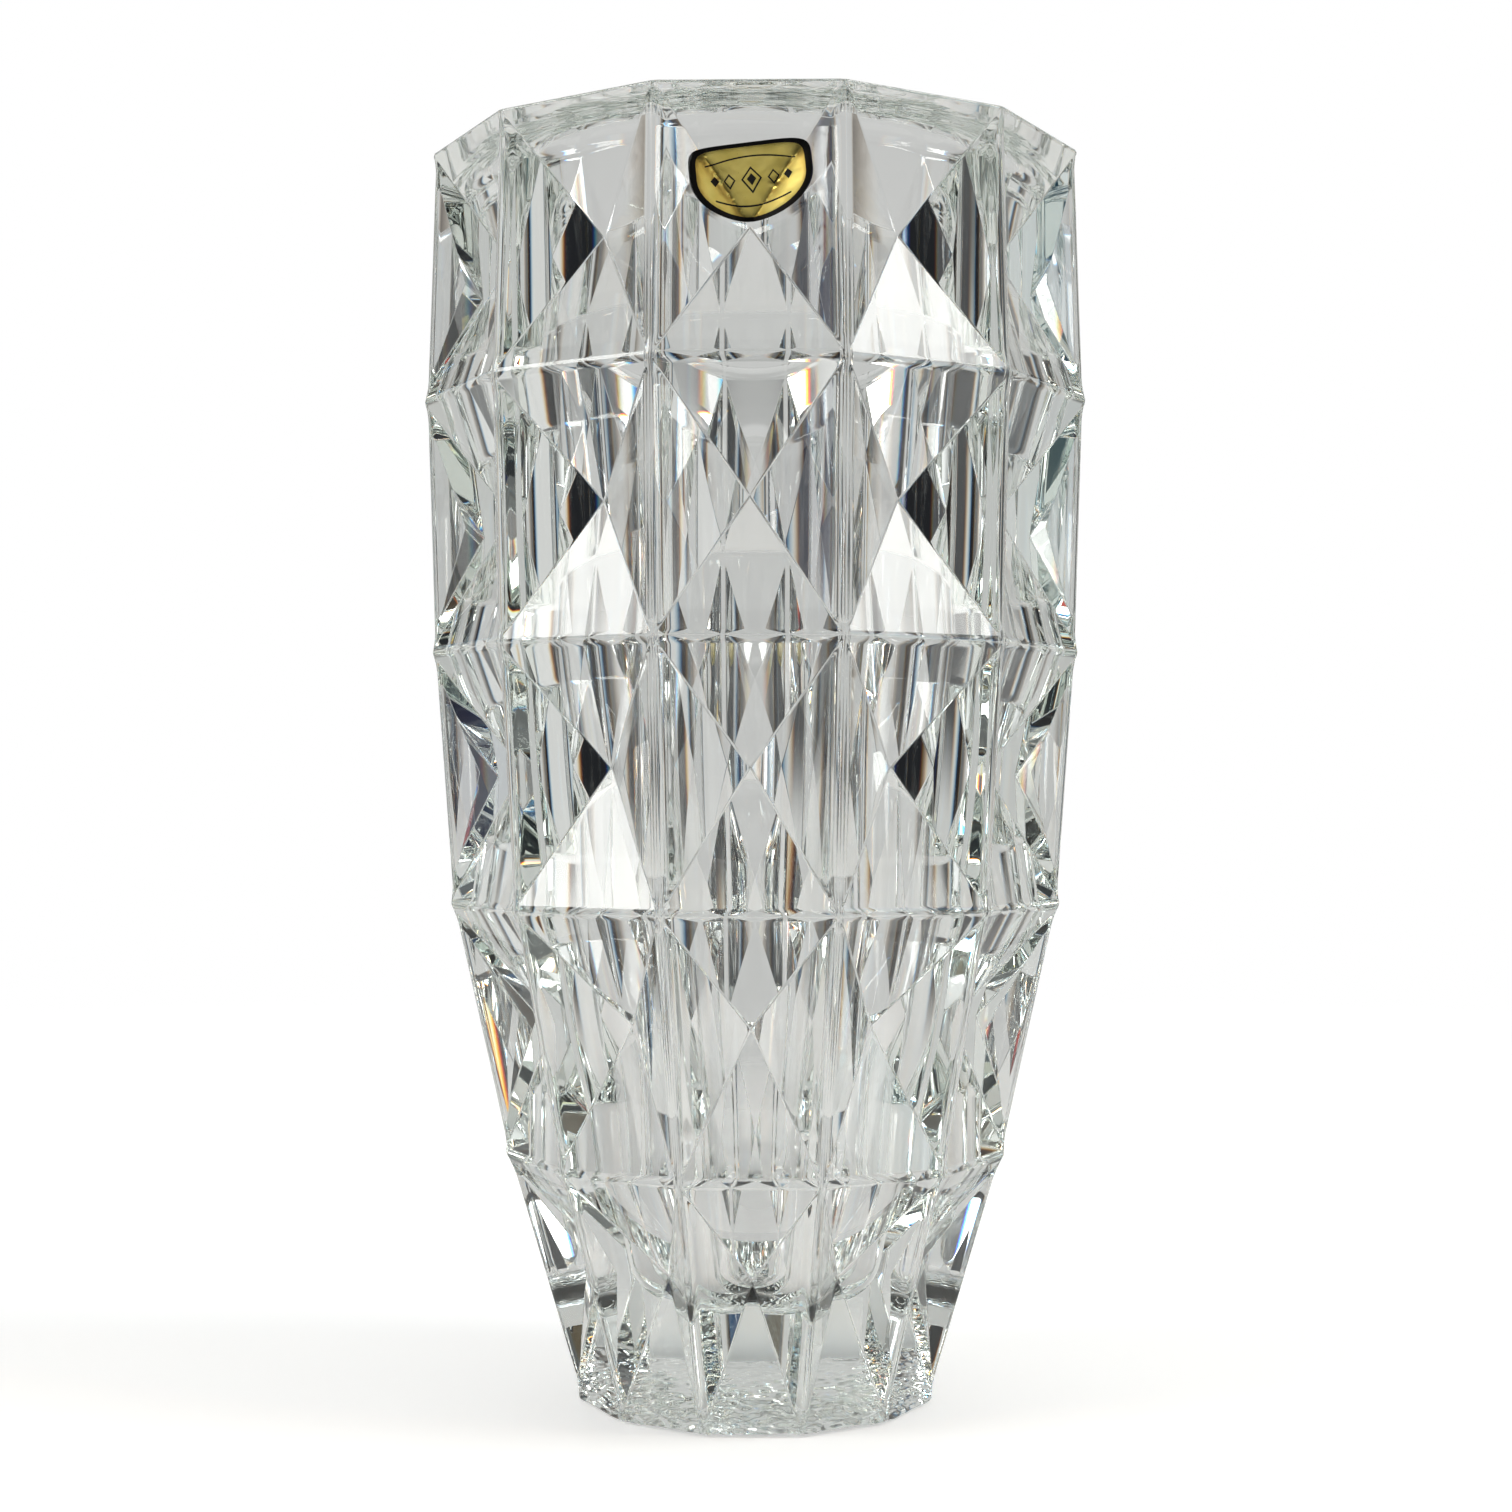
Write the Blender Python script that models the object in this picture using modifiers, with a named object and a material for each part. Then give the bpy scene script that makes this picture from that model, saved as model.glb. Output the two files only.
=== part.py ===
"""Cut crystal vase: a twelve-sided, five-tier faceted glass vessel with a small foil label.

Every panel of the outside is a four-sided pyramid sunk into the wall. The ridges between panels run
straight down the vase and around it, and the hollow inside is round and smooth.

Units are metres, +Z is up and the origin is the centre of the foot. The middle of one panel column
faces -Y, and the label is stuck on that column's top panel.
"""

import math

import bmesh
import bpy
from mathutils import Matrix, Vector

# Outside. Each radius is the distance from the axis to the sharp corners of one ridge ring, rim first.
# The upright ridges take the whole rounding, the level rings and the rim take their weight's share of it.
HEIGHT = 0.300
SIDES = 12
RING_RADII = (0.0801, 0.0820, 0.0800, 0.0755, 0.0621, 0.0442)
PANEL_RECESS = 0.0129
PANEL_MIDDLE_RISE = 0.0012
RIDGE_ROUNDING = 0.0036
RIDGE_PROFILE = 0.60
RING_WEIGHT = 0.50
RIM_WEIGHT = 0.40
RIDGE_SEGMENTS = 2

# Hollow. The wall passes through (radius, height) stations, then turns through a round corner to the floor.
CAVITY_WALL = (
    (0.0588, 0.300), (0.0580, 0.240), (0.0563, 0.190), (0.0528, 0.140), (0.0467, 0.095), (0.0388, 0.060),
)
CAVITY_FLOOR_Z = 0.0258
CAVITY_CORNER_RADIUS = 0.0140
CAVITY_STEPS = 60
WALL_POINTS = 12
CORNER_POINTS = 6
MOUTH_ROUNDING = 0.0060
MOUTH_POINTS = 5

# Underside. A shallow dome rises inside the flat ring that the vase stands on.
PUNT_RADIUS = 0.0300
PUNT_DEPTH = 0.0025
PUNT_POINTS = 6

# Label. A badge of foil that follows the facets of the top panel. Below its widest line it is round, and above
# it the corners are squarer: 2 would make them round as well, and more is squarer.
LABEL_WIDTH = 0.0270
LABEL_RISE = 0.0072
LABEL_DROP = 0.0087
LABEL_SQUARENESS = 6.0
LABEL_CENTRE_X = 0.0005
LABEL_CENTRE_Z = 0.2803
LABEL_TILT = math.radians(6.0)
LABEL_THICKNESS = 0.0002
LABEL_GAP = 0.00035
LABEL_RINGS = 4
LABEL_STEPS = 48

TIER_HEIGHT = HEIGHT / (len(RING_RADII) - 1)
CUTTER_CLEARANCE = 0.010
MERGE_DISTANCE = 0.00005
FULL_TURN = 2 * math.pi
QUARTER_TURN = math.pi / 2
HALF_SIDE = FULL_TURN / SIDES / 2


def clear_scene():
    for obj in list(bpy.data.objects):
        bpy.data.objects.remove(obj, do_unlink=True)


def new_collection(name):
    collection = bpy.data.collections.new(name)
    bpy.context.scene.collection.children.link(collection)
    return collection


def new_material(name, colour, roughness, metallic, transmission=0.0):
    material = bpy.data.materials.new(name)
    material.use_nodes = True
    shader = material.node_tree.nodes["Principled BSDF"]
    shader.inputs["Base Color"].default_value = (*colour, 1.0)
    shader.inputs["Roughness"].default_value = roughness
    shader.inputs["Metallic"].default_value = metallic
    shader.inputs["Transmission Weight"].default_value = transmission
    return material


def new_profile(name, points, collection):
    """An open line through (radius, height) points in the XZ plane, ready to be turned."""
    mesh = bpy.data.meshes.new(name)
    edges = [(i, i + 1) for i in range(len(points) - 1)]
    mesh.from_pydata([(radius, 0.0, height) for radius, height in points], edges, [])
    profile = bpy.data.objects.new(name, mesh)
    collection.objects.link(profile)
    return profile


def turn(profile, steps, axis="Z"):
    modifier = profile.modifiers.new("turned", "SCREW")
    modifier.axis = axis
    modifier.angle = FULL_TURN
    modifier.steps = steps
    modifier.render_steps = steps
    modifier.use_merge_vertices = True
    modifier.merge_threshold = MERGE_DISTANCE


def apply_modifiers(obj):
    graph = bpy.context.evaluated_depsgraph_get()
    mesh = bpy.data.meshes.new_from_object(obj.evaluated_get(graph), depsgraph=graph)
    obj.modifiers.clear()
    obj.data = mesh


def cut(obj, cutter):
    cutter.hide_render = True
    cutter.display_type = "WIRE"
    modifier = obj.modifiers.new(cutter.name, "BOOLEAN")
    modifier.operation = "DIFFERENCE"
    modifier.solver = "EXACT"
    modifier.object = cutter


def arc(centre, radius, start, end, count):
    """Points on an arc about a (radius, height) centre, from the start angle to the end angle."""
    angles = [start + (end - start) * i / count for i in range(count + 1)]
    return [(centre[0] + radius * math.cos(a), centre[1] + radius * math.sin(a)) for a in angles]


def smooth_line(stations, count):
    """Evenly spread points on the Catmull-Rom curve through the stations."""
    points = [Vector(station) for station in stations]
    points = [2 * points[0] - points[1], *points, 2 * points[-1] - points[-2]]
    spans = len(stations) - 1
    line = []
    for i in range(count + 1):
        span = min(int(i * spans / count), spans - 1)
        t = i * spans / count - span
        a, b, c, d = points[span:span + 4]
        bend = (c - a) * t + (2 * a - 5 * b + 4 * c - d) * t**2 + (3 * b - a - 3 * c + d) * t**3
        line.append(tuple(b + bend / 2))
    return line


def outside_profile():
    """From the axis at the rim, out and down through the corner of each ring, to the axis at the foot."""
    corners = [(radius, HEIGHT - i * TIER_HEIGHT) for i, radius in enumerate(RING_RADII)]
    return [(0.0, HEIGHT), *corners, (0.0, 0.0)]


def cavity_profile():
    """From the axis above the mouth, down the rounded mouth and the wall, to the axis at the floor."""
    wall = smooth_line(CAVITY_WALL, WALL_POINTS)
    mouth_radius = wall[0][0] + MOUTH_ROUNDING
    mouth_centre = (mouth_radius, HEIGHT - MOUTH_ROUNDING)
    mouth = arc(mouth_centre, MOUTH_ROUNDING, QUARTER_TURN, 2 * QUARTER_TURN, MOUTH_POINTS)
    (above_r, above_z), (foot_r, foot_z) = wall[-2:]
    # The corner begins square to the wall's lean, and the wall runs on straight until it meets it.
    lean = math.atan2(above_r - foot_r, above_z - foot_z)
    centre_z = CAVITY_FLOOR_Z + CAVITY_CORNER_RADIUS
    start_z = centre_z - CAVITY_CORNER_RADIUS * math.sin(lean)
    start_r = foot_r - (foot_z - start_z) * math.tan(lean)
    centre_r = start_r - CAVITY_CORNER_RADIUS * math.cos(lean)
    corner = arc((centre_r, centre_z), CAVITY_CORNER_RADIUS, -lean, -QUARTER_TURN, CORNER_POINTS)
    top = HEIGHT + CUTTER_CLEARANCE
    return [(0.0, top), (mouth_radius, top), *mouth, *wall[1:], *corner, (0.0, CAVITY_FLOOR_Z)]


def punt_profile():
    """From the top of a shallow dome out to its edge, then straight down and back to the axis."""
    sphere = (PUNT_RADIUS**2 + PUNT_DEPTH**2) / (2 * PUNT_DEPTH)
    reach = math.asin(PUNT_RADIUS / sphere)
    dome = arc((0.0, PUNT_DEPTH - sphere), sphere, QUARTER_TURN, QUARTER_TURN - reach, PUNT_POINTS)
    return [(0.0, PUNT_DEPTH), *dome[1:], (PUNT_RADIUS, -CUTTER_CLEARANCE), (0.0, -CUTTER_CLEARANCE)]


def sink_panels(mesh):
    """Weights every ridge for its bevel, then sinks a four-sided pyramid into every side panel."""
    shape = bmesh.new()
    shape.from_mesh(mesh)
    weight = shape.edges.layers.float.new("bevel_weight_edge")
    for edge in shape.edges:
        low, high = sorted(vert.co.z for vert in edge.verts)
        if all(vert.co.xy.length > MERGE_DISTANCE for vert in edge.verts):
            level = RING_WEIGHT if low < HEIGHT - MERGE_DISTANCE else RIM_WEIGHT
            edge[weight] = level if high - low < MERGE_DISTANCE else 1.0
    panels = [face for face in shape.faces if len(face.verts) == 4]
    middles = bmesh.ops.poke(shape, faces=panels, offset=-PANEL_RECESS, center_mode="MEAN")["verts"]
    bmesh.ops.translate(shape, verts=middles, vec=(0.0, 0.0, PANEL_MIDDLE_RISE))
    shape.to_mesh(mesh)
    shape.free()


def build_glass_body(collection, cutters):
    body = new_profile("glass_body", outside_profile(), collection)
    turn(body, SIDES)
    apply_modifiers(body)
    # Half a side's turn brings the middle of a panel to -Y, where a corner would be.
    body.data.transform(Matrix.Rotation(HALF_SIDE, 4, "Z"))
    sink_panels(body.data)
    body.data.materials.append(new_material("crystal_glass", (0.95, 0.98, 0.97), 0.02, 0.0, transmission=1.0))

    bevel = body.modifiers.new("softened_ridges", "BEVEL")
    bevel.limit_method = "WEIGHT"
    bevel.width = RIDGE_ROUNDING
    bevel.profile = RIDGE_PROFILE
    bevel.segments = RIDGE_SEGMENTS

    cavity = new_profile("cavity_cutter", cavity_profile(), cutters)
    punt = new_profile("punt_cutter", punt_profile(), cutters)
    for cutter in (cavity, punt):
        turn(cutter, CAVITY_STEPS)
        cut(body, cutter)
    return body


def shape_badge(mesh):
    """Turns a disc of radius 1 into the label's outline, in metres."""
    for vert in mesh.vertices:
        x, _, z = vert.co
        if z > MERGE_DISTANCE:
            out = (abs(x)**LABEL_SQUARENESS + z**LABEL_SQUARENESS)**(1 / LABEL_SQUARENESS)
            vert.co *= math.hypot(x, z) / out
        vert.co.x *= LABEL_WIDTH / 2
        vert.co.z *= LABEL_RISE if z > 0 else LABEL_DROP


def fold_at_valleys(mesh):
    """Splits the flat label along the valleys from the panel's middle to its two upper corners."""
    top_x = RING_RADII[0] * math.sin(HALF_SIDE)
    lean = math.atan2((RING_RADII[1] - RING_RADII[0]) * math.cos(HALF_SIDE), TIER_HEIGHT)
    middle = Vector((0.0, 0.0, HEIGHT - TIER_HEIGHT / 2 - PANEL_RECESS * math.sin(lean) + PANEL_MIDDLE_RISE))
    shape = bmesh.new()
    shape.from_mesh(mesh)
    for side in (-1, 1):
        valley = Vector((side * top_x, 0.0, HEIGHT)) - middle
        geometry = [*shape.verts, *shape.edges, *shape.faces]
        across = valley.cross(Vector((0.0, 1.0, 0.0))).normalized()
        bmesh.ops.bisect_plane(shape, geom=geometry, dist=MERGE_DISTANCE, plane_co=middle, plane_no=across)
    shape.to_mesh(mesh)
    shape.free()


def build_foil_label(body, collection):
    """A flat badge facing -Y, laid back onto the facets behind it and thickened outwards."""
    spokes = [(1 - i / LABEL_RINGS, 0.0) for i in range(LABEL_RINGS + 1)]
    label = new_profile("foil_label", spokes, collection)
    turn(label, LABEL_STEPS, axis="Y")
    apply_modifiers(label)
    shape_badge(label.data)
    place = Matrix.Translation((LABEL_CENTRE_X, -2 * RING_RADII[0], LABEL_CENTRE_Z))
    label.data.transform(place @ Matrix.Rotation(-LABEL_TILT, 4, "Y"))
    fold_at_valleys(label.data)
    label.data.materials.append(new_material("gold_foil", (0.83, 0.62, 0.15), 0.3, 1.0))

    wrap = label.modifiers.new("laid_on_glass", "SHRINKWRAP")
    wrap.wrap_method = "PROJECT"
    wrap.use_project_y = True
    wrap.use_positive_direction = True
    wrap.use_negative_direction = False
    wrap.target = body
    wrap.offset = LABEL_GAP
    thick = label.modifiers.new("thickness", "SOLIDIFY")
    thick.thickness = LABEL_THICKNESS
    thick.offset = 1.0
    return label


def main():
    clear_scene()
    vase = new_collection("cut_crystal_vase")
    cutters = new_collection("cutters")
    body = build_glass_body(vase, cutters)
    build_foil_label(body, vase)


main()
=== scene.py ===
"""The looks of the cut crystal vase: clear glass, a gold foil label, a floor, a room and a camera.

Everything is in metres, +Z up, and the middle of the label's column of panels faces -Y.
"""

import math

import bmesh
import bpy
from mathutils import Matrix, Vector, noise


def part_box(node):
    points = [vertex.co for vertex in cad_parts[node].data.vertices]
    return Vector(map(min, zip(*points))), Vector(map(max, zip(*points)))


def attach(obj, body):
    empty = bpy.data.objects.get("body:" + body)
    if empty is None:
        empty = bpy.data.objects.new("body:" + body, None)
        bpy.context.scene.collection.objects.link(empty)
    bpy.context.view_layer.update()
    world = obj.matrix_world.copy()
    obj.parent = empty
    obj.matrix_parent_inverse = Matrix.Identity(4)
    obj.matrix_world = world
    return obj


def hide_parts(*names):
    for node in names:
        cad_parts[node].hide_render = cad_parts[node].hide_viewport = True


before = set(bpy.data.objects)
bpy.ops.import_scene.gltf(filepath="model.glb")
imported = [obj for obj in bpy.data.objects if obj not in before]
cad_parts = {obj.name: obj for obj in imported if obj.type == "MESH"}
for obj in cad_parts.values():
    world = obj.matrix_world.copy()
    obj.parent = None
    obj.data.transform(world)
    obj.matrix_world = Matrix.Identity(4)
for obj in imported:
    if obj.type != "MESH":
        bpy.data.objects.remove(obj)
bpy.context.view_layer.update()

# Outside of the vase, as the CAD has it. Radii are those of the sharp corners of each ring, rim first.
# A weight is the share of the rounding that a kind of edge takes. The upright ridges take all of it.
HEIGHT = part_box("glass_body")[1].z
SIDES = 12
RING_RADII = (0.0801, 0.0820, 0.0800, 0.0755, 0.0621, 0.0442)
PANEL_RECESS = 0.0129
PANEL_MIDDLE_RISE = 0.0012
RIDGE_ROUNDING = 0.0036
RIDGE_PROFILE = 0.60
RING_WEIGHT = 0.50
RIM_WEIGHT = 0.40
VALLEY_WEIGHT = 0.10
RIDGE_SEGMENTS = 10
SHARP_ANGLE = math.radians(26)

# Hollow. Its wall passes through these (radius, height) places, then turns a round corner into the floor.
CAVITY_WALL = (
    (0.0588, 0.300),
    (0.0580, 0.240),
    (0.0563, 0.190),
    (0.0528, 0.140),
    (0.0467, 0.095),
    (0.0388, 0.060),
)
CAVITY_FLOOR_Z = 0.0258
CAVITY_CORNER_RADIUS = 0.0140
CAVITY_STEPS = 192
WALL_POINTS = 48
CORNER_POINTS = 16
MOUTH_ROUNDING = 0.0060
MOUTH_POINTS = 16

# Very slight upright waves in the hollow's wall, which streak what is seen through it.
WAVE_SIZE = Vector((0.012, 0.012, 0.060))
WAVE_DEPTH = 0.00005

# Underside: a shallow dome inside the ring that the vase stands on, and a pressed stipple all over both.
# The stipple's middle and swing are shares of its depth. Their difference keeps it above the flat foot
# everywhere, so that none of that foot is left. Corners that its cut leaves closer than the merge distance,
# below the merge height, are merged.
PUNT_RADIUS = 0.0300
PUNT_DEPTH = 0.0025
PUNT_POINTS = 64
STIPPLE_STEPS = 360
STIPPLE_PITCH = 0.0032
STIPPLE_DEPTH = 0.0012
STIPPLE_MIDDLE = 0.55
STIPPLE_SWING = 0.5
FOOT_MERGE_HEIGHT = 0.0015
FOOT_MERGE_DISTANCE = 0.000025

# Foil label, a badge on the top panel: round below its widest line and squarer above it.
LABEL_WIDTH = 0.0270
LABEL_RISE = 0.0072
LABEL_DROP = 0.0087
LABEL_SQUARENESS = 6.0
LABEL_CENTRE_X = 0.0005
LABEL_CENTRE_Z = 0.2803
LABEL_TILT = math.radians(6.0)
LABEL_THICKNESS = 0.0002
LABEL_GAP = 0.00035
LABEL_RINGS = 16
LABEL_STEPS = 96
LABEL_EASING = 30
LABEL_SHARP_ANGLE = math.radians(50)

# Print on the label, in shares of its half width across and of its rise or drop up and down. The border runs
# from BORDER_START out to the edge. A bent line has its height in the middle and its reach to each side.
# A lozenge has its place to each side, half width, half height, and the inner and outer edge of its ink.
BORDER_START = 0.885
BENT_LINES = ((0.62, 0.74), (-0.62, 0.62))
BENT_LINE_BEND = 0.35
BENT_LINE_HALF_WIDTH = 0.022
LOZENGES = (
    (0.0, 0.17, 0.34, 0.80, 1.00),
    (0.0, 0.17, 0.34, 0.00, 0.45),
    (0.36, 0.10, 0.20, 0.68, 1.00),
    (0.60, 0.07, 0.14, 0.00, 1.00),
)

# Relief of the foil: fine grain and soft creases, with their noise scales, and the ink's own height.
GRAIN_SCALE = 2600
GRAIN_HEIGHT = 0.000006
CREASE_SCALE = 240
CREASE_HEIGHT = 0.00012
INK_HEIGHT = 0.00001

# Floor. It fades out between two distances from the axis, and glows a little for the camera alone, so that it
# meets the white round it unseen. Under the foot a painted shadow darkens it, which gives the stipple dark
# flecks to show.
FLOOR_RADIUS = 1.5
FLOOR_DROP = 0.0002
FLOOR_FADE = (0.25, 1.2)
# Where the painted shadow under the foot fades into the pale floor.
FLOOR_PAINTED_SHADOW_EDGE = (0.036, 0.042)
FLOOR_GLOW = 0.42

# The room, as patches of even brightness: name, azimuth and elevation of the middle, half sizes and edge
# softness in degrees, then colour. Azimuth runs from +Y, behind the vase, towards +X. A later patch covers an
# earlier one.
ALL_ROUND = 180
ROOM = (
    ("backdrop", 0, 11, 34, 35, 4, (0.60, 0.605, 0.595)),
    ("backdrop_top", -6, 39, 46, 13, 4, (0.56, 0.565, 0.555)),
    ("floor", 0, -56, ALL_ROUND, 36, 5, (0.52, 0.52, 0.51)),
    ("floor_near", 0, -90, ALL_ROUND, 50, 5, (0.25, 0.25, 0.25)),
    ("floor_front", 0, -50, 30, 14, 5, (0.12, 0.12, 0.12)),
    ("ceiling", 0, 90, ALL_ROUND, 30, 5, (1.10, 1.10, 1.10)),
    ("right_strip", 46, 8, 3.5, 40, 1.5, (0.02, 0.02, 0.02)),
    ("left_strip", -43, 8, 2.5, 40, 1.5, (0.02, 0.02, 0.02)),
    ("left_card", -61, 0, 14, 24, 3, (0.72, 0.725, 0.71)),
    ("right_card", 65, -8, 14, 17, 3, (0.62, 0.625, 0.61)),
    ("right_shade", 70, 9, 13, 12, 3, (0.08, 0.082, 0.084)),
    ("camera_side", 180, 8, 55, 40, 5, (0.02, 0.023, 0.027)),
    ("right_flag", 98, 4, 15, 14, 2, (0.015, 0.016, 0.018)),
    ("left_flag", -93, 4, 16, 17, 2, (0.015, 0.016, 0.018)),
    ("right_window", 102, 44, 17, 11, 2, (7.0, 7.0, 6.8)),
    ("left_window", -110, 30, 16, 10, 2, (7.0, 7.0, 6.8)),
    ("right_back", 122, 18, 6, 18, 2, (1.20, 1.20, 1.18)),
    ("left_back", -125, 5, 6, 22, 2, (1.10, 1.10, 1.09)),
)
WALL_COLOUR = (0.16, 0.165, 0.165)
FRINGE = 0.012

# Camera: lens and sensor in millimetres, distance from the axis, height, how far round it stands from -Y
# towards +X, and how far up it looks.
CAMERA_LENS = 55.03
CAMERA_SENSOR = 36.0
CAMERA_DISTANCE = 0.5707
CAMERA_HEIGHT = 0.1455
CAMERA_AROUND = math.radians(1.2)
CAMERA_UP = math.radians(1.03)

TIERS = len(RING_RADII) - 1
TIER_HEIGHT = HEIGHT / TIERS
CUTTER_CLEARANCE = 0.010
MERGE_DISTANCE = 0.00002
FULL_TURN = 2 * math.pi
QUARTER_TURN = math.pi / 2
HALF_SIDE = FULL_TURN / SIDES / 2


# ---------------------------------------------------------------- shapes

def new_object(name, mesh):
    made = bpy.data.objects.new(name, mesh)
    bpy.context.scene.collection.objects.link(made)
    return made


def new_profile(name, points):
    """An open line through (radius, height) places, ready to be turned."""
    mesh = bpy.data.meshes.new(name)
    edges = [(i, i + 1) for i in range(len(points) - 1)]
    mesh.from_pydata([(radius, 0.0, height) for radius, height in points], edges, [])
    return new_object(name, mesh)


def turn(profile, steps, axis="Z"):
    modifier = profile.modifiers.new("turned", "SCREW")
    modifier.axis = axis
    modifier.angle = FULL_TURN
    modifier.steps = steps
    modifier.render_steps = steps
    modifier.use_merge_vertices = True
    modifier.merge_threshold = MERGE_DISTANCE


def apply_modifiers(obj):
    graph = bpy.context.evaluated_depsgraph_get()
    mesh = bpy.data.meshes.new_from_object(obj.evaluated_get(graph), depsgraph=graph)
    obj.modifiers.clear()
    obj.data = mesh


def shade(mesh, sharp_angle):
    mesh.shade_smooth()
    mesh.set_sharp_from_angle(angle=sharp_angle)


def arc(centre, radius, start, end, count):
    """Places along an arc about a centre, all in (radius, height)."""
    angles = [start + (end - start) * i / count for i in range(count + 1)]
    return [(centre[0] + radius * math.cos(a), centre[1] + radius * math.sin(a)) for a in angles]


def smooth_line(stations, count):
    """Places along the Catmull-Rom curve through the stations."""
    points = [Vector(station) for station in stations]
    points = [2 * points[0] - points[1], *points, 2 * points[-1] - points[-2]]
    spans = len(stations) - 1
    line = []
    for i in range(count + 1):
        span = min(int(i * spans / count), spans - 1)
        t = i * spans / count - span
        a, b, c, d = points[span:span + 4]
        bend = (c - a) * t + (2 * a - 5 * b + 4 * c - d) * t**2 + (3 * b - a - 3 * c + d) * t**3
        line.append(tuple(b + bend / 2))
    return line


def outside_profile():
    """From the axis at the rim, out and down through the corner of each ring, and back to it at the foot."""
    corners = [(radius, HEIGHT - i * TIER_HEIGHT) for i, radius in enumerate(RING_RADII)]
    return [(0.0, HEIGHT), *corners, (0.0, 0.0)]


def cavity_profile():
    """From the axis above the mouth, down the rounded mouth and the wall, and back to it at the floor."""
    wall = smooth_line(CAVITY_WALL, WALL_POINTS)
    mouth_radius = wall[0][0] + MOUTH_ROUNDING
    mouth_centre = (mouth_radius, HEIGHT - MOUTH_ROUNDING)
    mouth = arc(mouth_centre, MOUTH_ROUNDING, QUARTER_TURN, 2 * QUARTER_TURN, MOUTH_POINTS)
    # The wall runs on straight from its last station, until the round corner takes it up without a kink.
    (above_r, above_z), (foot_r, foot_z) = wall[-2:]
    lean = math.atan2(above_r - foot_r, above_z - foot_z)
    centre_z = CAVITY_FLOOR_Z + CAVITY_CORNER_RADIUS
    start_z = centre_z - CAVITY_CORNER_RADIUS * math.sin(lean)
    start_r = foot_r - (foot_z - start_z) * math.tan(lean)
    centre_r = start_r - CAVITY_CORNER_RADIUS * math.cos(lean)
    corner = arc((centre_r, centre_z), CAVITY_CORNER_RADIUS, -lean, -QUARTER_TURN, CORNER_POINTS)
    top = HEIGHT + CUTTER_CLEARANCE
    return [(0.0, top), (mouth_radius, top), *mouth, *wall[1:], *corner, (0.0, CAVITY_FLOOR_Z)]


def underside_profile():
    """From the top of the dome, out over the ring that the vase stands on, then down and back to the axis."""
    sphere = (PUNT_RADIUS**2 + PUNT_DEPTH**2) / (2 * PUNT_DEPTH)
    reach = RING_RADII[-1] + CUTTER_CLEARANCE
    line = []
    for i in range(PUNT_POINTS + 1):
        radius = reach * i / PUNT_POINTS
        line.append((radius, max(PUNT_DEPTH - sphere + math.sqrt(sphere**2 - radius**2), 0.0)))
    return [*line, (reach, -CUTTER_CLEARANCE), (0.0, -CUTTER_CLEARANCE)]


def wave(cutter):
    """Moves the hollow's wall in and out a little, in long upright waves."""
    for vert in cutter.data.vertices:
        if vert.co.xy.length > MERGE_DISTANCE and vert.co.z < HEIGHT - MOUTH_ROUNDING:
            x, y, z = vert.co
            deep = noise.noise((x / WAVE_SIZE.x, y / WAVE_SIZE.y, z / WAVE_SIZE.z))
            outwards = Vector((x, y, 0.0)).normalized()
            vert.co += outwards * WAVE_DEPTH * deep


def stipple(cutter):
    """Presses shallow rounded pits all over the underside."""
    for vert in cutter.data.vertices:
        if vert.co.z > -CUTTER_CLEARANCE / 2:
            x, y, _ = vert.co / STIPPLE_PITCH
            vert.co.z += STIPPLE_DEPTH * (STIPPLE_MIDDLE + STIPPLE_SWING * noise.noise((x, y, 0.0)))


def sink_panels(mesh):
    """Weights the edges for their rounding, and sinks a four-sided pyramid into every side panel."""
    shape = bmesh.new()
    shape.from_mesh(mesh)
    weight = shape.edges.layers.float.new("bevel_weight_edge")
    for edge in shape.edges:
        low, high = sorted(vert.co.z for vert in edge.verts)
        if all(vert.co.xy.length > MERGE_DISTANCE for vert in edge.verts):
            level = RING_WEIGHT if low < HEIGHT - MERGE_DISTANCE else RIM_WEIGHT
            edge[weight] = level if high - low < MERGE_DISTANCE else 1.0
    panels = [face for face in shape.faces if len(face.verts) == 4]
    middles = bmesh.ops.poke(shape, faces=panels, offset=-PANEL_RECESS, center_mode="MEAN")["verts"]
    bmesh.ops.translate(shape, verts=middles, vec=(0.0, 0.0, PANEL_MIDDLE_RISE))
    for middle in middles:
        for edge in middle.link_edges:
            edge[weight] = VALLEY_WEIGHT
    shape.to_mesh(mesh)
    shape.free()


def cut(obj, cutter):
    modifier = obj.modifiers.new(cutter.name, "BOOLEAN")
    modifier.operation = "DIFFERENCE"
    modifier.solver = "EXACT"
    modifier.object = cutter


def mend_foot(mesh):
    """Merges the corners that the stipple's cut leaves almost on each other along the foot's edge."""
    shape = bmesh.new()
    shape.from_mesh(mesh)
    low = [vert for vert in shape.verts if vert.co.z < FOOT_MERGE_HEIGHT]
    bmesh.ops.remove_doubles(shape, verts=low, dist=FOOT_MERGE_DISTANCE)
    shape.to_mesh(mesh)
    shape.free()


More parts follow.
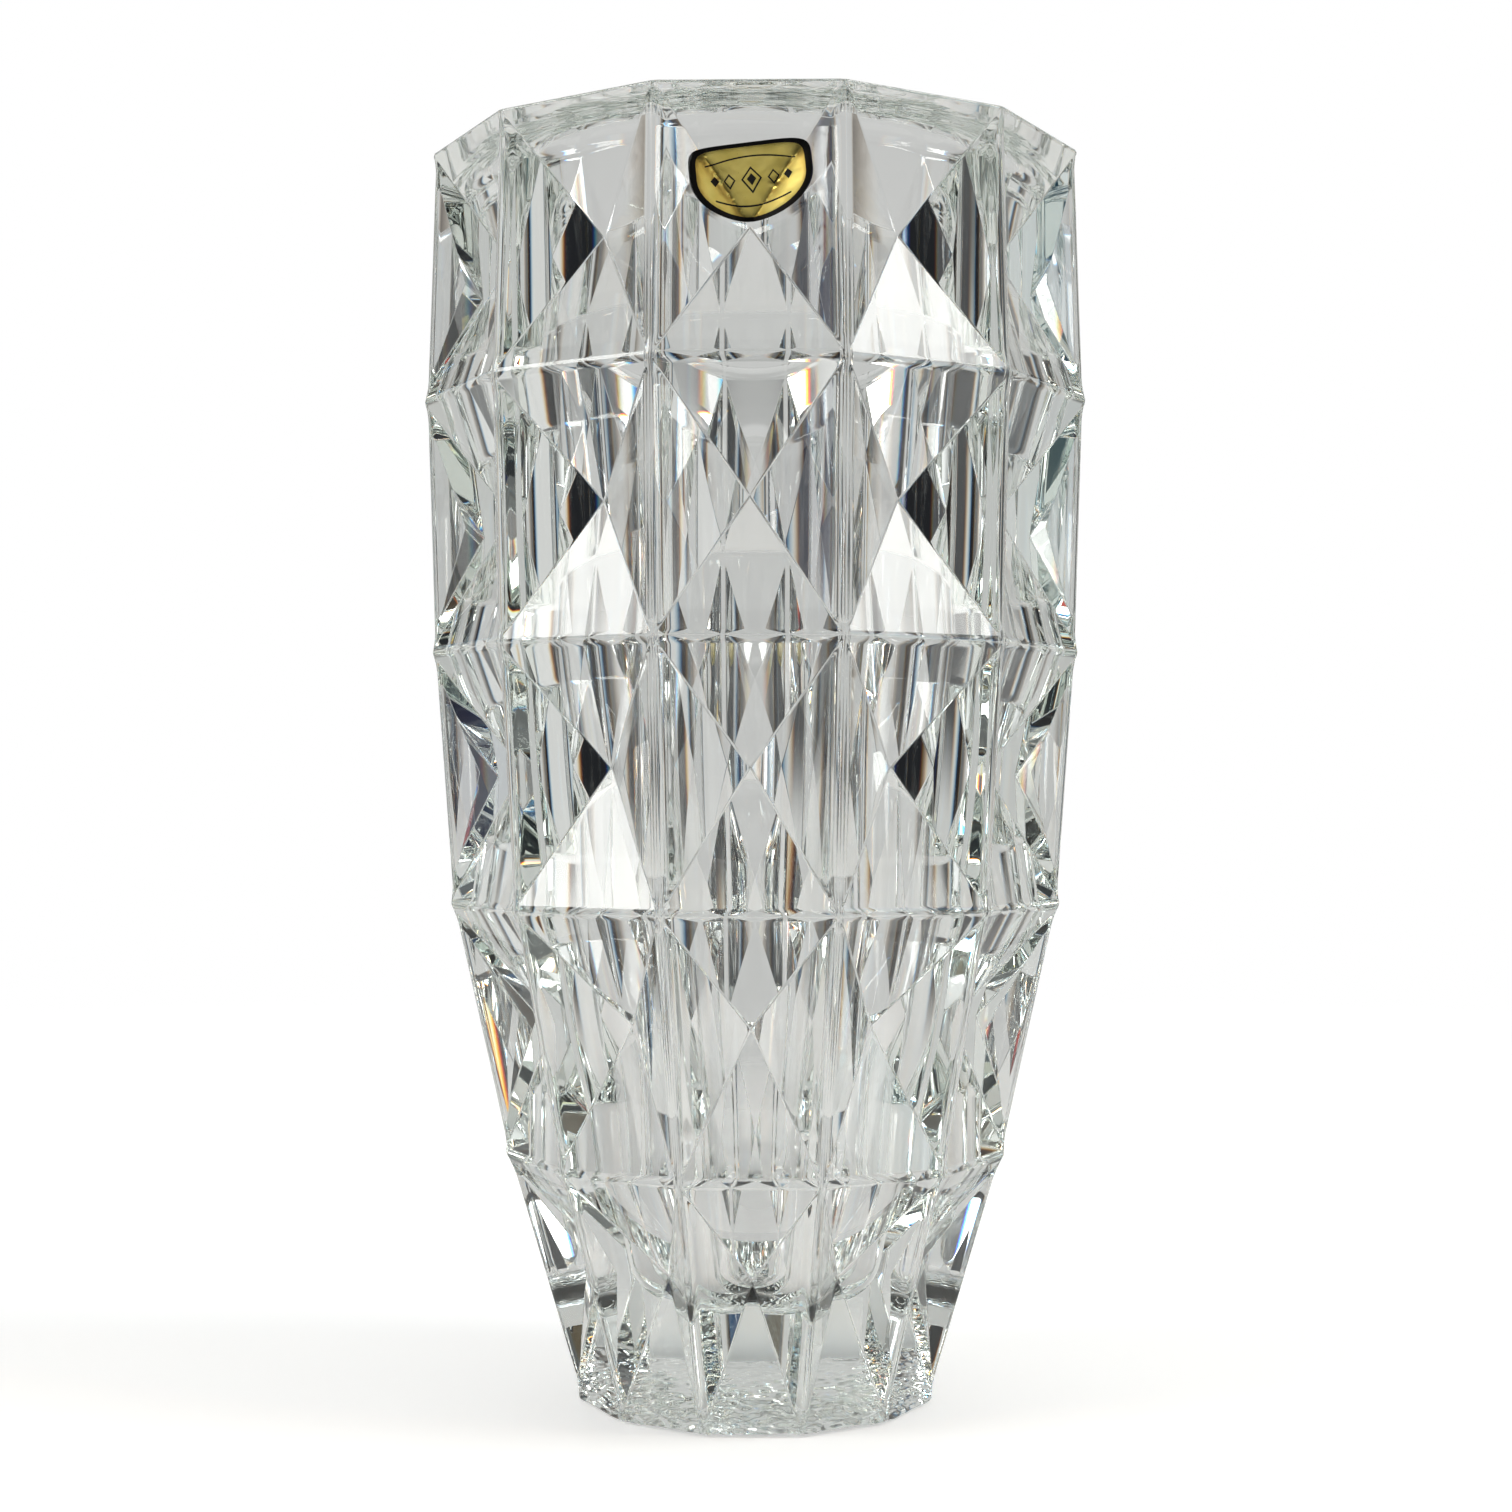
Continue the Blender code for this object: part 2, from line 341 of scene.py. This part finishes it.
def build_glass():
    glass = new_profile("crystal_body", outside_profile())
    turn(glass, SIDES)
    apply_modifiers(glass)
    # This turns the middle of a panel to -Y, where a ridge was.
    glass.data.transform(Matrix.Rotation(HALF_SIDE, 4, "Z"))
    sink_panels(glass.data)
    bevel = glass.modifiers.new("soft_ridges", "BEVEL")
    bevel.limit_method = "WEIGHT"
    bevel.width = RIDGE_ROUNDING
    bevel.segments = RIDGE_SEGMENTS
    bevel.profile = RIDGE_PROFILE
    cavity = new_profile("cavity_cutter", cavity_profile())
    turn(cavity, CAVITY_STEPS)
    underside = new_profile("underside_cutter", underside_profile())
    turn(underside, STIPPLE_STEPS)
    for cutter, finish in ((cavity, wave), (underside, stipple)):
        apply_modifiers(cutter)
        finish(cutter)
        cut(glass, cutter)
    apply_modifiers(glass)
    for cutter in (cavity, underside):
        bpy.data.objects.remove(cutter)
    mend_foot(glass.data)
    shade(glass.data, SHARP_ANGLE)
    weighted = glass.modifiers.new("flat_facets", "WEIGHTED_NORMAL")
    weighted.mode = "FACE_AREA"
    weighted.weight = 100
    weighted.keep_sharp = True
    return glass


def shape_badge(mesh):
    """Turns a disc of radius 1 into the label's outline, in metres."""
    for vert in mesh.vertices:
        x, _, z = vert.co
        if z > MERGE_DISTANCE:
            out = (abs(x)**LABEL_SQUARENESS + z**LABEL_SQUARENESS)**(1 / LABEL_SQUARENESS)
            vert.co *= math.hypot(x, z) / out
        vert.co.x *= LABEL_WIDTH / 2
        vert.co.z *= LABEL_RISE if z > 0 else LABEL_DROP


def fold_at_valleys(shape):
    """Splits the flat label along the valleys from the panel's middle to its two upper corners."""
    top_x = RING_RADII[0] * math.sin(HALF_SIDE)
    lean = math.atan2((RING_RADII[1] - RING_RADII[0]) * math.cos(HALF_SIDE), TIER_HEIGHT)
    middle_z = HEIGHT - TIER_HEIGHT / 2 - PANEL_RECESS * math.sin(lean) + PANEL_MIDDLE_RISE
    middle = Vector((0.0, 0.0, middle_z))
    for side in (-1, 1):
        valley = Vector((side * top_x, 0.0, HEIGHT)) - middle
        geometry = [*shape.verts, *shape.edges, *shape.faces]
        across = valley.cross(Vector((0.0, 1.0, 0.0))).normalized()
        bmesh.ops.bisect_plane(shape, geom=geometry, dist=MERGE_DISTANCE, plane_co=middle, plane_no=across)


def lay_out_print(shape, place):
    """Gives every corner its place on the print: 0, 0 in the label's middle and 1 at its edges."""
    print_place = shape.loops.layers.uv.new("print_place")
    to_print = place.inverted()
    for face in shape.faces:
        for loop in face.loops:
            x, _, z = to_print @ loop.vert.co
            loop[print_place].uv = (x / (LABEL_WIDTH / 2), z / (LABEL_RISE if z > 0 else LABEL_DROP))


def build_label(body):
    """A flat badge facing -Y, laid back onto the facets behind it, eased over their folds and thickened."""
    spokes = [(1 - i / LABEL_RINGS, 0.0) for i in range(LABEL_RINGS + 1)]
    label = new_profile("foil_sticker", spokes)
    turn(label, LABEL_STEPS, axis="Y")
    apply_modifiers(label)
    shape_badge(label.data)
    place = Matrix.Translation((LABEL_CENTRE_X, -2 * RING_RADII[0], LABEL_CENTRE_Z))
    place @= Matrix.Rotation(-LABEL_TILT, 4, "Y")
    label.data.transform(place)
    shape = bmesh.new()
    shape.from_mesh(label.data)
    fold_at_valleys(shape)
    lay_out_print(shape, place)
    shape.to_mesh(label.data)
    shape.free()
    wrap = label.modifiers.new("laid_on_glass", "SHRINKWRAP")
    wrap.wrap_method = "PROJECT"
    wrap.use_project_y = True
    wrap.use_positive_direction = True
    wrap.use_negative_direction = False
    wrap.target = body
    wrap.offset = LABEL_GAP
    eased = label.modifiers.new("eased_folds", "SMOOTH")
    eased.use_x = eased.use_z = False
    eased.factor = 0.5
    eased.iterations = LABEL_EASING
    thick = label.modifiers.new("thickness", "SOLIDIFY")
    thick.thickness = LABEL_THICKNESS
    thick.offset = 1.0
    apply_modifiers(label)
    shade(label.data, LABEL_SHARP_ANGLE)
    return label


# ---------------------------------------------------------------- materials

class Nodes:
    """Adds nodes to a tree with few words. All but the feeds make one node and return its output."""

    def __init__(self, tree):
        self.tree = tree

    def feed(self, socket, value):
        if isinstance(value, bpy.types.NodeSocket):
            self.tree.links.new(value, socket)
        else:
            socket.default_value = value

    def feed_all(self, sockets, values):
        for socket, value in zip(sockets, values):
            self.feed(socket, value)

    def node(self, kind, output, **values):
        node = self.tree.nodes.new(kind)
        for name, value in values.items():
            self.feed(node.inputs[name], value)
        return node.outputs[output]

    def math(self, operation, *values):
        node = self.tree.nodes.new("ShaderNodeMath")
        node.operation = operation
        self.feed_all(node.inputs, values)
        return node.outputs["Value"]

    def vector(self, operation, *values):
        node = self.tree.nodes.new("ShaderNodeVectorMath")
        node.operation = operation
        self.feed_all(node.inputs, values)
        return node.outputs["Value" if operation == "LENGTH" else "Vector"]

    def place(self, space):
        return self.node("ShaderNodeTexCoord", space)

    def part(self, value, letter):
        return self.node("ShaderNodeSeparateXYZ", letter, Vector=value)

    def noise(self, place, scale, detail):
        return self.node("ShaderNodeTexNoise", "Fac", Vector=place, Scale=scale, Detail=detail)

    def ramp(self, value, start, end):
        """0 at start and 1 at end, with soft ends."""
        ramp = self.node("ShaderNodeMapRange", "Result", Value=value)
        ramp.node.interpolation_type = "SMOOTHSTEP"
        ramp.node.inputs["From Min"].default_value = start
        ramp.node.inputs["From Max"].default_value = end
        return ramp

    def ramp_each(self, value, start, end):
        """The same for each part of a vector, whose start and end are inputs 7 and 8."""
        node = self.tree.nodes.new("ShaderNodeMapRange")
        node.data_type = "FLOAT_VECTOR"
        node.interpolation_type = "SMOOTHSTEP"
        self.feed_all((node.inputs["Vector"], *node.inputs[7:9]), (value, (start,) * 3, (end,) * 3))
        return node.outputs["Vector"]

    def mix_colour(self, factor, low, high):
        """Mixes two colours, which are inputs 6 and 7, by one factor, which is input 0."""
        mix = self.tree.nodes.new("ShaderNodeMix")
        mix.data_type = "RGBA"
        self.feed_all((mix.inputs[0], *mix.inputs[6:8]), (factor, low, high))
        return mix.outputs[2]

    def mix_each(self, factor, low, high):
        """Mixes two vectors, inputs 4 and 5, by a factor for each of their parts, input 1."""
        mix = self.tree.nodes.new("ShaderNodeMix")
        mix.data_type = "VECTOR"
        mix.factor_mode = "NON_UNIFORM"
        self.feed_all((mix.inputs[1], *mix.inputs[4:6]), (factor, low, high))
        return mix.outputs[1]

    def mix_shader(self, factor, low, high):
        mix = self.tree.nodes.new("ShaderNodeMixShader")
        self.feed_all(mix.inputs, (factor, low, high))
        return mix.outputs["Shader"]


def new_material(name):
    made = bpy.data.materials.new(name)
    made.use_nodes = True
    return made, made.node_tree.nodes["Principled BSDF"], Nodes(made.node_tree)


def glass_material():
    """Clear glass with a very slight cool tint, which shows where the glass is deep."""
    made, shader, make = new_material("crystal_glass")
    shader.inputs["Base Color"].default_value = (1.0, 1.0, 1.0, 1.0)
    shader.inputs["Roughness"].default_value = 0.0
    shader.inputs["IOR"].default_value = 1.56
    shader.inputs["Transmission Weight"].default_value = 1.0
    absorb = make.node("ShaderNodeVolumeAbsorption", "Volume", Color=(0.84, 0.885, 0.85, 1.0), Density=7.0)
    make.feed(made.node_tree.nodes["Material Output"].inputs["Volume"], absorb)
    return made


def label_ink(make):
    """1 where the label is printed: a border, and a row of lozenges between two bent lines."""
    print_place = make.node("ShaderNodeUVMap", "UV")
    print_place.node.uv_map = "print_place"
    side, rise = make.part(print_place, "X"), make.part(print_place, "Y")
    across, up = make.math("ABSOLUTE", side), make.math("ABSOLUTE", rise)

    # How far out a place lies, 1 on the outline: squarer above the widest line, where the power is higher.
    power = make.math("MULTIPLY_ADD", make.math("GREATER_THAN", rise, 0.0), LABEL_SQUARENESS - 2, 2.0)
    out = make.math("ADD", make.math("POWER", across, power), make.math("POWER", up, power))
    out = make.math("POWER", out, make.math("DIVIDE", 1.0, power))
    ink = make.math("GREATER_THAN", out, BORDER_START)

    bend = make.math("MULTIPLY", make.math("MULTIPLY", across, across), BENT_LINE_BEND)
    for height, reach in BENT_LINES:
        line = make.math("ADD" if height > 0 else "SUBTRACT", rise, bend)
        on_line = make.math("COMPARE", line, height, BENT_LINE_HALF_WIDTH)
        ink = make.math("MAXIMUM", ink, make.math("MULTIPLY", on_line, make.math("LESS_THAN", across, reach)))

    for middle, half_width, half_height, inner, outer in LOZENGES:
        beside = make.math("ABSOLUTE", make.math("SUBTRACT", across, middle))
        beside = make.math("DIVIDE", beside, half_width)
        from_middle = make.math("ADD", beside, make.math("DIVIDE", up, half_height))
        lozenge = make.math("COMPARE", from_middle, (inner + outer) / 2, (outer - inner) / 2)
        ink = make.math("MAXIMUM", ink, lozenge)
    return ink


def foil_material():
    """Satin gold foil with soft creases and black print."""
    made, shader, make = new_material("gold_foil")
    ink = label_ink(make)
    place = make.place("Object")
    grain = make.noise(place, GRAIN_SCALE, 3)
    creases = make.noise(place, CREASE_SCALE, 2)
    gold = make.mix_colour(creases, (0.60, 0.47, 0.09, 1), (0.90, 0.75, 0.25, 1))
    relief = make.math("MULTIPLY_ADD", grain, GRAIN_HEIGHT, make.math("MULTIPLY", creases, CREASE_HEIGHT))
    relief = make.math("MULTIPLY_ADD", ink, INK_HEIGHT, relief)
    make.feed(shader.inputs["Base Color"], make.mix_colour(ink, gold, (0.006, 0.006, 0.006, 1)))
    make.feed(shader.inputs["Metallic"], make.math("SUBTRACT", 1.0, ink))
    make.feed(shader.inputs["Roughness"], make.math("MULTIPLY_ADD", grain, 0.14, 0.24))
    make.feed(shader.inputs["Normal"], make.node("ShaderNodeBump", "Normal", Height=relief, Distance=1.0))
    shader.inputs["Specular IOR Level"].default_value = 0.25
    return made


def floor_material():
    """Pale and matt, with a painted shadow under the foot, and fading out far from it."""
    made, shader, make = new_material("pale_floor")
    away = make.vector("LENGTH", make.place("Object"))
    # The near-black colour inside the foot's radius is a painted shadow.
    pale_with_painted_shadow = make.mix_colour(make.ramp(away, *FLOOR_PAINTED_SHADOW_EDGE), (0.05, 0.05, 0.05, 1), (0.88, 0.88, 0.87, 1))
    seen = make.node("ShaderNodeLightPath", "Is Camera Ray")
    make.feed(shader.inputs["Base Color"], pale_with_painted_shadow)
    make.feed(shader.inputs["Emission Strength"], make.math("MULTIPLY", seen, FLOOR_GLOW))
    shader.inputs["Emission Color"].default_value = (1.0, 1.0, 1.0, 1.0)
    shader.inputs["Roughness"].default_value = 0.6
    shader.inputs["Specular IOR Level"].default_value = 0.2
    clear = make.node("ShaderNodeBsdfTransparent", "BSDF")
    faded = make.mix_shader(make.ramp(away, *FLOOR_FADE), shader.outputs["BSDF"], clear)
    make.feed(made.node_tree.nodes["Material Output"].inputs["Surface"], faded)
    return made


# ---------------------------------------------------------------- stage

def room_light(make):
    """The room's colour in each direction.

    Red, green and blue see it a little apart, which gives the coloured edges that cut crystal shows.
    """
    direction = make.place("Generated")
    azimuth = make.math("ARCTAN2", make.part(direction, "X"), make.part(direction, "Y"))
    elevation = make.math("ARCSINE", make.part(direction, "Z"))
    red = make.math("MULTIPLY", azimuth, 1 - FRINGE)
    blue = make.math("MULTIPLY", azimuth, 1 + FRINGE)
    spread = make.node("ShaderNodeCombineXYZ", "Vector", X=red, Y=azimuth, Z=blue)
    light = WALL_COLOUR
    for _, *measures, colour in ROOM:
        middle, rise, half_width, half_height, soft = map(math.radians, measures)
        up = make.math("ABSOLUTE", make.math("SUBTRACT", elevation, rise))
        cover = make.ramp_each(up, half_height + soft, half_height - soft)
        if half_width < math.radians(ALL_ROUND):
            across = make.vector("SUBTRACT", spread, (middle,) * 3)
            across = make.vector("WRAP", across, (math.pi,) * 3, (-math.pi,) * 3)
            across = make.ramp_each(make.vector("ABSOLUTE", across), half_width + soft, half_width - soft)
            cover = make.vector("MULTIPLY", across, cover)
        light = make.mix_each(cover, light, colour)
    return light


def build_world():
    """A grey room with two windows, which lights the vase and shows in it. The camera itself sees white."""
    world = bpy.data.worlds.new("studio")
    bpy.context.scene.world = world
    world.use_nodes = True
    world.cycles.sampling_method = "MANUAL"
    world.cycles.sample_map_resolution = 512
    world.node_tree.nodes.clear()
    make = Nodes(world.node_tree)
    room = make.node("ShaderNodeBackground", "Background", Color=room_light(make))
    paper = make.node("ShaderNodeBackground", "Background", Color=(1, 1, 1, 1))
    seen = make.node("ShaderNodeLightPath", "Is Camera Ray")
    output = world.node_tree.nodes.new("ShaderNodeOutputWorld")
    make.feed(output.inputs["Surface"], make.mix_shader(seen, room, paper))


def build_floor():
    mesh = bpy.data.meshes.new("floor")
    shape = bmesh.new()
    bmesh.ops.create_circle(shape, cap_ends=True, segments=96, radius=FLOOR_RADIUS)
    shape.to_mesh(mesh)
    shape.free()
    mesh.materials.append(floor_material())
    floor = new_object("floor", mesh)
    floor.location.z = -FLOOR_DROP


def build_camera():
    data = bpy.data.cameras.new("camera")
    data.lens = CAMERA_LENS
    data.sensor_width = CAMERA_SENSOR
    camera = new_object("camera", data)
    side, back = math.sin(CAMERA_AROUND), math.cos(CAMERA_AROUND)
    camera.location = (CAMERA_DISTANCE * side, -CAMERA_DISTANCE * back, CAMERA_HEIGHT)
    camera.rotation_euler = (QUARTER_TURN + CAMERA_UP, 0, CAMERA_AROUND)
    bpy.context.scene.camera = camera


scene = bpy.context.scene
scene.view_settings.view_transform = "Standard"
scene.cycles.max_bounces = 24
scene.cycles.transmission_bounces = 24
scene.cycles.glossy_bounces = 12
scene.cycles.transparent_max_bounces = 16

glass = build_glass()
glass.data.materials.append(glass_material())
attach(glass, "root")
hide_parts("glass_body")
label = build_label(glass)
label.data.materials.append(foil_material())
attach(label, "root")
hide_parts("foil_label")
build_floor()
build_world()
build_camera()
